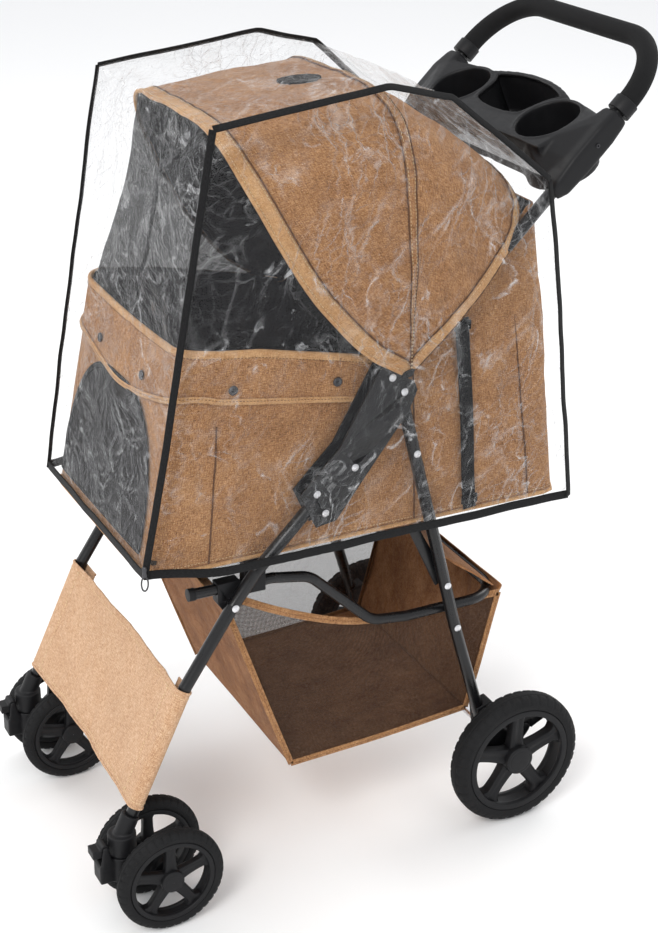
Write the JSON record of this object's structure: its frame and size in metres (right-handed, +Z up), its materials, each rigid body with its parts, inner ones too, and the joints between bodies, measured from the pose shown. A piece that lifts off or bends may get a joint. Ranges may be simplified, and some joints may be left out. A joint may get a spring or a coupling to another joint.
{
  "type": "pet stroller",
  "caption": "Folding four-wheel pet stroller with fabric cabin, fan canopy, clear rain cover, cup tray, twin-wheel castors and under basket.",
  "frame": {"origin": "middle of the bounding box at floor level", "axes": "+Z up; forward, the way the stroller is pushed, is -Y; the stroller's left is +X"},
  "size_m": [0.44, 0.7522, 0.9882],
  "materials": {
    "tyre_rubber": "matte",
    "zinc_steel": "satin",
    "tube_black": "gloss",
    "plate_black": "satin",
    "foam_black": "matte",
    "fabric_tan": "matte",
    "fabric_light_tan": "matte",
    "fabric_basket": "matte",
    "fabric_lining": "matte",
    "board": "matte",
    "clear_film": "gloss",
    "binding_black": "matte",
    "batten": "satin",
    "screw_black": "satin",
    "plastic_black": "matte"
  },
  "bodies": {
    "frame": {"front_leg_left": "tube_black", "front_leg_right": "tube_black", "side_plates_left": "plate_black", "side_plates_right": "plate_black", "frame_rivets": "zinc_steel", "pivot_pins": "zinc_steel", "base_frame": "tube_black", "floor_board": "board", "cushion": "fabric_lining", "cabin_shell": "fabric_tan", "rim_bar": "batten", "leg_panel": "fabric_light_tan", "castor_socket_left": "plastic_black", "castor_socket_right": "plastic_black"},
    "castor_lock_left": {"castor_lock_left": "plastic_black"},
    "castor_lock_right": {"castor_lock_right": "plastic_black"},
    "fold_latch_left": {"fold_latch_left": "plastic_black"},
    "fold_latch_right": {"fold_latch_right": "plastic_black"},
    "handle": {"handle_tube": "tube_black", "handle_grip": "foam_black", "handle_collars": "plastic_black", "cup_tray": "plastic_black", "tray_screws": "screw_black", "canopy_rear": "fabric_tan", "canopy_mid_hoop": "batten"},
    "canopy": {"canopy_front": "fabric_tan", "canopy_front_hoop": "batten"},
    "rear_legs": {"rear_leg_left": "tube_black", "rear_leg_right": "tube_black", "rear_leg_rivets": "zinc_steel", "cabin_struts": "plate_black", "rear_axle": "zinc_steel", "brake_housing_left": "plastic_black", "brake_housing_right": "plastic_black"},
    "brake_left": {"brake_pedal_left": "plastic_black"},
    "brake_right": {"brake_pedal_right": "plastic_black"},
    "basket": {"basket_tube": "tube_black", "basket_caps": "plastic_black", "basket_clips": "plastic_black", "basket_bag": "fabric_basket"},
    "castor_left": {"castor_housing_left": "plastic_black", "castor_axle_left": "zinc_steel"},
    "castor_right": {"castor_housing_right": "plastic_black", "castor_axle_right": "zinc_steel"},
    "castor_wheel_left_outer": {"castor_tyre_left_outer": "tyre_rubber", "castor_hub_left_outer": "plastic_black"},
    "castor_wheel_left_inner": {"castor_tyre_left_inner": "tyre_rubber", "castor_hub_left_inner": "plastic_black"},
    "castor_wheel_right_outer": {"castor_tyre_right_outer": "tyre_rubber", "castor_hub_right_outer": "plastic_black"},
    "castor_wheel_right_inner": {"castor_tyre_right_inner": "tyre_rubber", "castor_hub_right_inner": "plastic_black"},
    "rear_wheel_left": {"rear_tyre_left": "tyre_rubber", "rear_hub_left": "plastic_black"},
    "rear_wheel_right": {"rear_tyre_right": "tyre_rubber", "rear_hub_right": "plastic_black"},
    "rain_cover": {"rain_cover": "clear_film", "cover_binding": "binding_black"}
  },
  "joints": [
    {"name": "handle_fold", "type": "hinge", "parent": "frame", "child": "handle", "pos_m": [0, 0.003, 0.636], "axis": [1, 0, 0], "range_deg": [0, 150], "deforming": ["cabin_shell", "rim_bar", "canopy_rear", "canopy_front", "canopy_front_hoop", "canopy_mid_hoop", "rain_cover", "cover_binding", "cushion"]},
    {"name": "rear_leg_fold", "type": "hinge", "parent": "frame", "child": "rear_legs", "pos_m": [0, 0.019, 0.616], "axis": [1, 0, 0], "range_deg": [-33, 0]},
    {"name": "basket_fold", "type": "hinge", "parent": "frame", "child": "basket", "pos_m": [0, -0.192, 0.386], "axis": [1, 0, 0], "range_deg": [-28, 0], "deforming": ["basket_bag"]},
    {"name": "canopy_fold", "type": "hinge", "parent": "handle", "child": "canopy", "pos_m": [0, 0.022, 0.655], "axis": [1, 0, 0], "range_deg": [-38, 0]},
    {"name": "castor_swivel_left", "type": "hinge", "parent": "frame", "child": "castor_left", "pos_m": [0.173, -0.337, 0.078], "axis": [0, 0, 1], "continuous": true},
    {"name": "castor_roll_left_outer", "type": "hinge", "parent": "castor_left", "child": "castor_wheel_left_outer", "pos_m": [0.209, -0.292, 0.066], "axis": [1, 0, 0], "continuous": true},
    {"name": "castor_roll_left_inner", "type": "hinge", "parent": "castor_left", "child": "castor_wheel_left_inner", "pos_m": [0.137, -0.292, 0.066], "axis": [1, 0, 0], "continuous": true},
    {"name": "rear_roll_left", "type": "hinge", "parent": "rear_legs", "child": "rear_wheel_left", "pos_m": [0.201, 0.185, 0.09], "axis": [1, 0, 0], "continuous": true},
    {"name": "brake_press_left", "type": "hinge", "parent": "rear_legs", "child": "brake_left", "pos_m": [0.173, 0.214, 0.112], "axis": [1, 0, 0], "range_deg": [-18, 0], "stiffness_Nm_per_rad": 0.4, "springref_deg": 20.05},
    {"name": "castor_lock_press_left", "type": "hinge", "parent": "castor_left", "child": "castor_lock_left", "pos_m": [0.173, -0.361, 0.11], "axis": [1, 0, 0], "range_deg": [0, 20]},
    {"name": "fold_latch_turn_left", "type": "hinge", "parent": "frame", "child": "fold_latch_left", "pos_m": [0.173, -0.026, 0.59], "axis": [1, 0, 0], "range_deg": [0, 20]},
    {"name": "castor_swivel_right", "type": "hinge", "parent": "frame", "child": "castor_right", "pos_m": [-0.173, -0.337, 0.078], "axis": [0, 0, 1], "continuous": true},
    {"name": "castor_roll_right_outer", "type": "hinge", "parent": "castor_right", "child": "castor_wheel_right_outer", "pos_m": [-0.209, -0.292, 0.066], "axis": [1, 0, 0], "continuous": true},
    {"name": "castor_roll_right_inner", "type": "hinge", "parent": "castor_right", "child": "castor_wheel_right_inner", "pos_m": [-0.137, -0.292, 0.066], "axis": [1, 0, 0], "continuous": true},
    {"name": "rear_roll_right", "type": "hinge", "parent": "rear_legs", "child": "rear_wheel_right", "pos_m": [-0.201, 0.185, 0.09], "axis": [1, 0, 0], "continuous": true},
    {"name": "brake_press_right", "type": "hinge", "parent": "rear_legs", "child": "brake_right", "pos_m": [-0.173, 0.214, 0.112], "axis": [1, 0, 0], "range_deg": [-18, 0], "stiffness_Nm_per_rad": 0.4, "springref_deg": 20.05},
    {"name": "castor_lock_press_right", "type": "hinge", "parent": "castor_right", "child": "castor_lock_right", "pos_m": [-0.173, -0.361, 0.11], "axis": [1, 0, 0], "range_deg": [0, 20]},
    {"name": "fold_latch_turn_right", "type": "hinge", "parent": "frame", "child": "fold_latch_right", "pos_m": [-0.173, -0.026, 0.59], "axis": [1, 0, 0], "range_deg": [0, 20]},
    {"name": "rain_cover_lift", "type": "slide", "parent": "frame", "child": "rain_cover", "axis": [0, -0.6, 0.8], "range_m": [0, 0.6]}
  ],
  "couplings": [
    {"joint": "rear_leg_fold", "follows": "handle_fold", "ratio": -0.22},
    {"joint": "basket_fold", "follows": "handle_fold", "ratio": -0.186}
  ]
}
